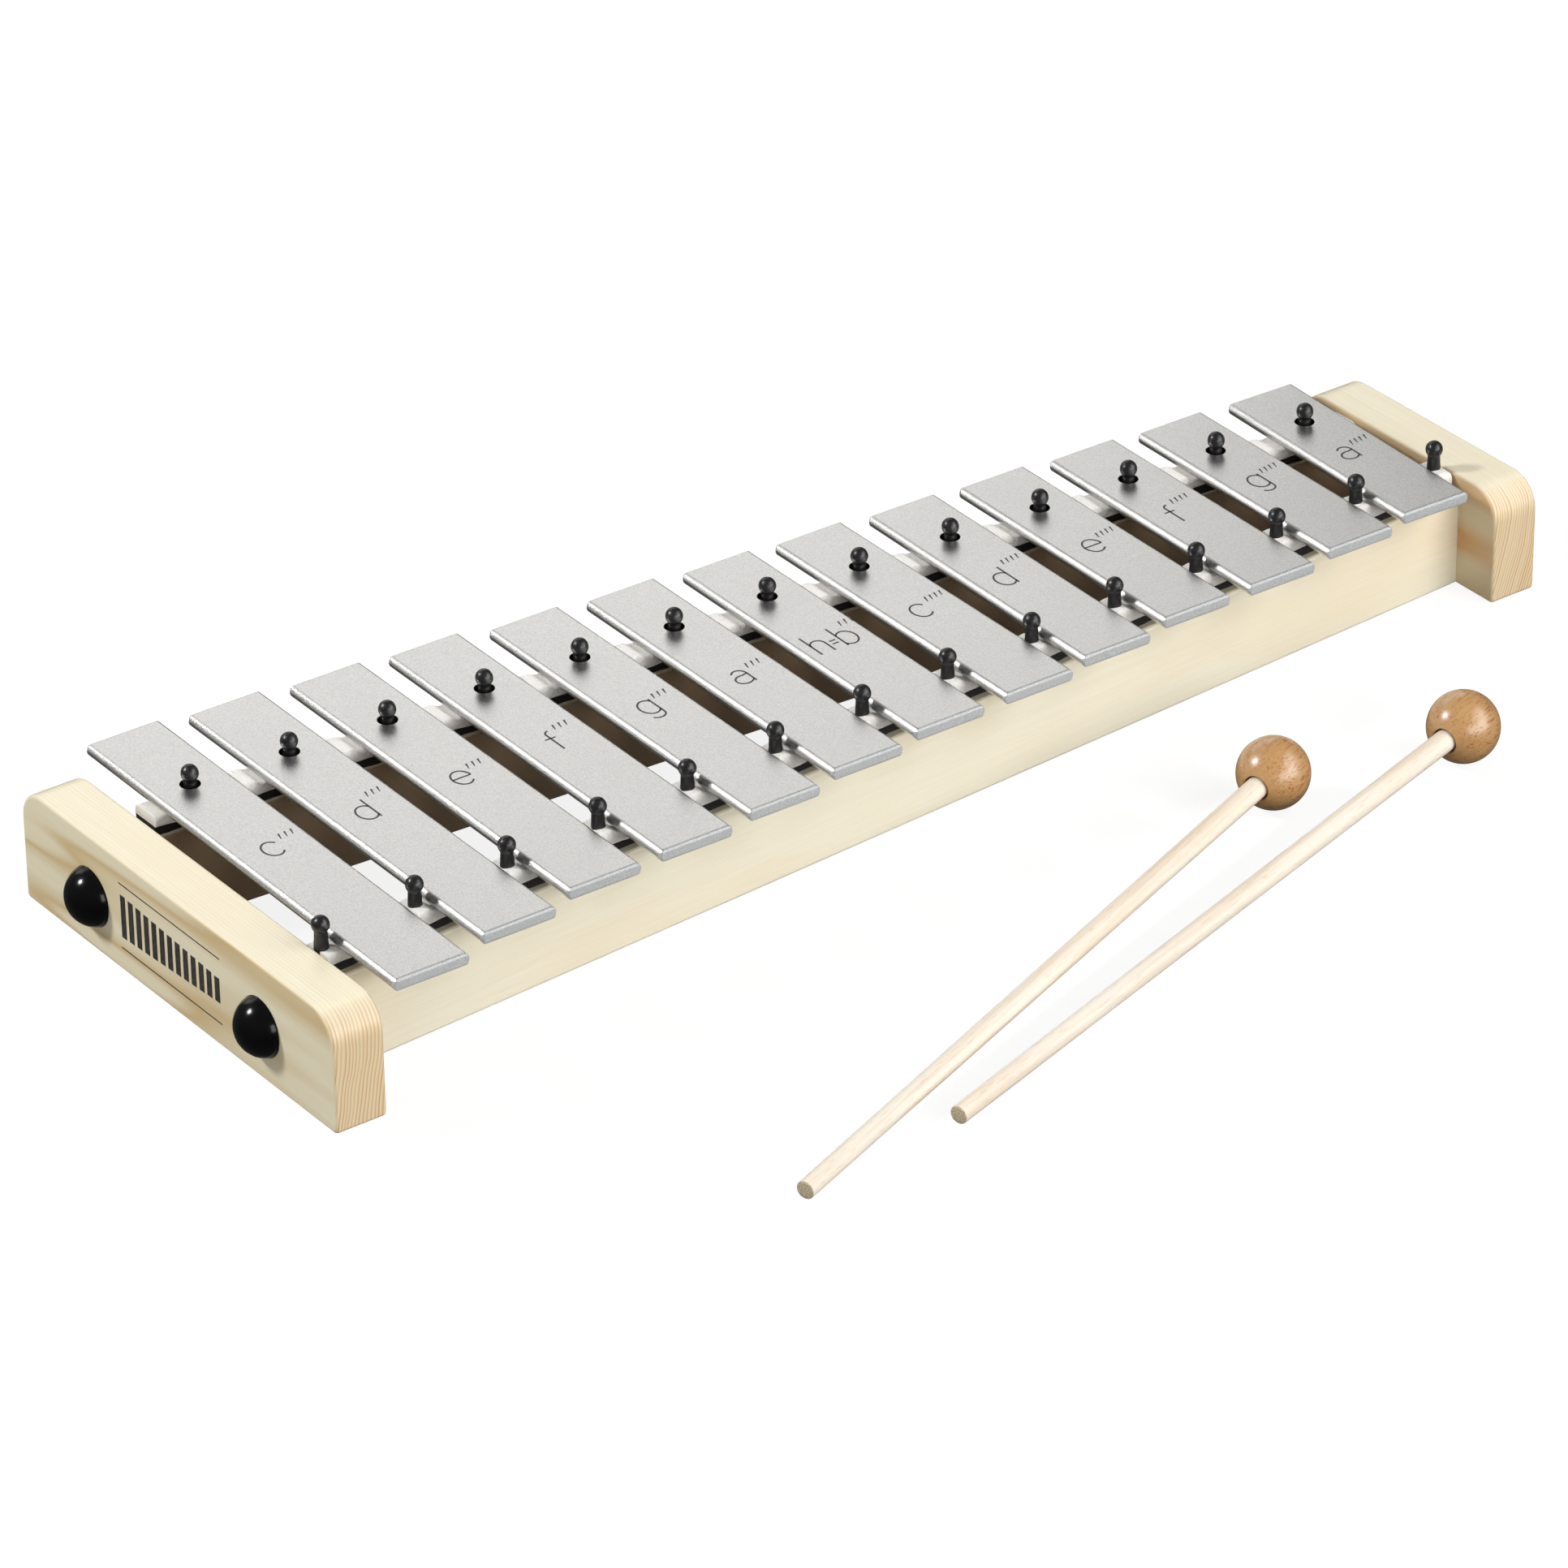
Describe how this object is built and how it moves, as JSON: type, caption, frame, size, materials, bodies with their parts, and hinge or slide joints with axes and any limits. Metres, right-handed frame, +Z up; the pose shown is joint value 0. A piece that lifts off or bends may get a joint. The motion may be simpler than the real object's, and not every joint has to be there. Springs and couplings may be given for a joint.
{
  "type": "glockenspiel",
  "caption": "Diatonic table glockenspiel: tuned painted steel bars held by ball pins on felt along a tapered wooden frame, with wooden ball mallets.",
  "frame": {"origin": "on the floor, under the middle of the footprint of the whole set, the instrument with its two mallets", "axes": "+X along the instrument from the low notes to the high notes, +Y away from the player, +Z up"},
  "size_m": [0.3674, 0.2058, 0.0362],
  "materials": {
    "bar_silver": "satin silver paint with a fine sparkle",
    "pine_block": "clear satin lacquer on pale pine",
    "pine_rail": "clear satin lacquer on pale pine",
    "pin_rubber": "satin black",
    "felt": "pressed cream wool felt",
    "backing": "black backing strip",
    "cap_gloss": "glossy black",
    "screw_steel": "plain",
    "beech_head": "gloss lacquer on beech",
    "beech_stick": "satin lacquer on pale beech"
  },
  "bodies": {
    "frame": {"front_pin_01": "pin_rubber", "front_pin_02": "pin_rubber", "front_pin_03": "pin_rubber", "front_pin_04": "pin_rubber", "front_pin_05": "pin_rubber", "front_pin_06": "pin_rubber", "front_pin_07": "pin_rubber", "front_pin_08": "pin_rubber", "front_pin_09": "pin_rubber", "front_pin_10": "pin_rubber", "front_pin_11": "pin_rubber", "front_pin_12": "pin_rubber", "front_pin_13": "pin_rubber", "front_pin_14": "pin_rubber", "rear_pin_01": "pin_rubber", "rear_pin_02": "pin_rubber", "rear_pin_03": "pin_rubber", "rear_pin_04": "pin_rubber", "rear_pin_05": "pin_rubber", "rear_pin_06": "pin_rubber", "rear_pin_07": "pin_rubber", "rear_pin_08": "pin_rubber", "rear_pin_09": "pin_rubber", "rear_pin_10": "pin_rubber", "rear_pin_11": "pin_rubber", "rear_pin_12": "pin_rubber", "rear_pin_13": "pin_rubber", "front_rail": "pine_rail", "rear_rail": "pine_rail", "low_end_block": "pine_block", "high_end_block": "pine_block", "front_felt_strip": "felt", "rear_felt_strip": "felt", "front_backing_strip": "backing", "rear_backing_strip": "backing", "low_front_screw": "screw_steel", "low_front_screw_cap": "cap_gloss", "low_rear_screw": "screw_steel", "low_rear_screw_cap": "cap_gloss", "high_front_screw": "screw_steel", "high_front_screw_cap": "cap_gloss", "high_rear_screw": "screw_steel", "high_rear_screw_cap": "cap_gloss"},
    "bar_c3": {"bar_c3": "bar_silver"},
    "bar_d3": {"bar_d3": "bar_silver"},
    "bar_e3": {"bar_e3": "bar_silver"},
    "bar_f3": {"bar_f3": "bar_silver"},
    "bar_g3": {"bar_g3": "bar_silver"},
    "bar_a3": {"bar_a3": "bar_silver"},
    "bar_b3": {"bar_b3": "bar_silver"},
    "bar_c4": {"bar_c4": "bar_silver"},
    "bar_d4": {"bar_d4": "bar_silver"},
    "bar_e4": {"bar_e4": "bar_silver"},
    "bar_f4": {"bar_f4": "bar_silver"},
    "bar_g4": {"bar_g4": "bar_silver"},
    "bar_a4": {"bar_a4": "bar_silver"},
    "mallet_1": {"mallet_1_head": "beech_head", "mallet_1_stick": "beech_stick"},
    "mallet_2": {"mallet_2_head": "beech_head", "mallet_2_stick": "beech_stick"}
  },
  "joints": [
    {"name": "bar_c3_lift", "type": "slide", "parent": "frame", "child": "bar_c3", "axis": [0, 0, 1], "range_m": [0, 0.02]},
    {"name": "bar_d3_lift", "type": "slide", "parent": "frame", "child": "bar_d3", "axis": [0, 0, 1], "range_m": [0, 0.02]},
    {"name": "bar_e3_lift", "type": "slide", "parent": "frame", "child": "bar_e3", "axis": [0, 0, 1], "range_m": [0, 0.02]},
    {"name": "bar_f3_lift", "type": "slide", "parent": "frame", "child": "bar_f3", "axis": [0, 0, 1], "range_m": [0, 0.02]},
    {"name": "bar_g3_lift", "type": "slide", "parent": "frame", "child": "bar_g3", "axis": [0, 0, 1], "range_m": [0, 0.02]},
    {"name": "bar_a3_lift", "type": "slide", "parent": "frame", "child": "bar_a3", "axis": [0, 0, 1], "range_m": [0, 0.02]},
    {"name": "bar_b3_lift", "type": "slide", "parent": "frame", "child": "bar_b3", "axis": [0, 0, 1], "range_m": [0, 0.02]},
    {"name": "bar_c4_lift", "type": "slide", "parent": "frame", "child": "bar_c4", "axis": [0, 0, 1], "range_m": [0, 0.02]},
    {"name": "bar_d4_lift", "type": "slide", "parent": "frame", "child": "bar_d4", "axis": [0, 0, 1], "range_m": [0, 0.02]},
    {"name": "bar_e4_lift", "type": "slide", "parent": "frame", "child": "bar_e4", "axis": [0, 0, 1], "range_m": [0, 0.02]},
    {"name": "bar_f4_lift", "type": "slide", "parent": "frame", "child": "bar_f4", "axis": [0, 0, 1], "range_m": [0, 0.02]},
    {"name": "bar_g4_lift", "type": "slide", "parent": "frame", "child": "bar_g4", "axis": [0, 0, 1], "range_m": [0, 0.02]},
    {"name": "bar_a4_lift", "type": "slide", "parent": "frame", "child": "bar_a4", "axis": [0, 0, 1], "range_m": [0, 0.02]},
    {"name": "mallet_1_lift", "type": "slide", "parent": "frame", "child": "mallet_1", "axis": [0, 0, 1], "range_m": [0, 0.05]},
    {"name": "mallet_2_lift", "type": "slide", "parent": "frame", "child": "mallet_2", "axis": [0, 0, 1], "range_m": [0, 0.05]}
  ]
}
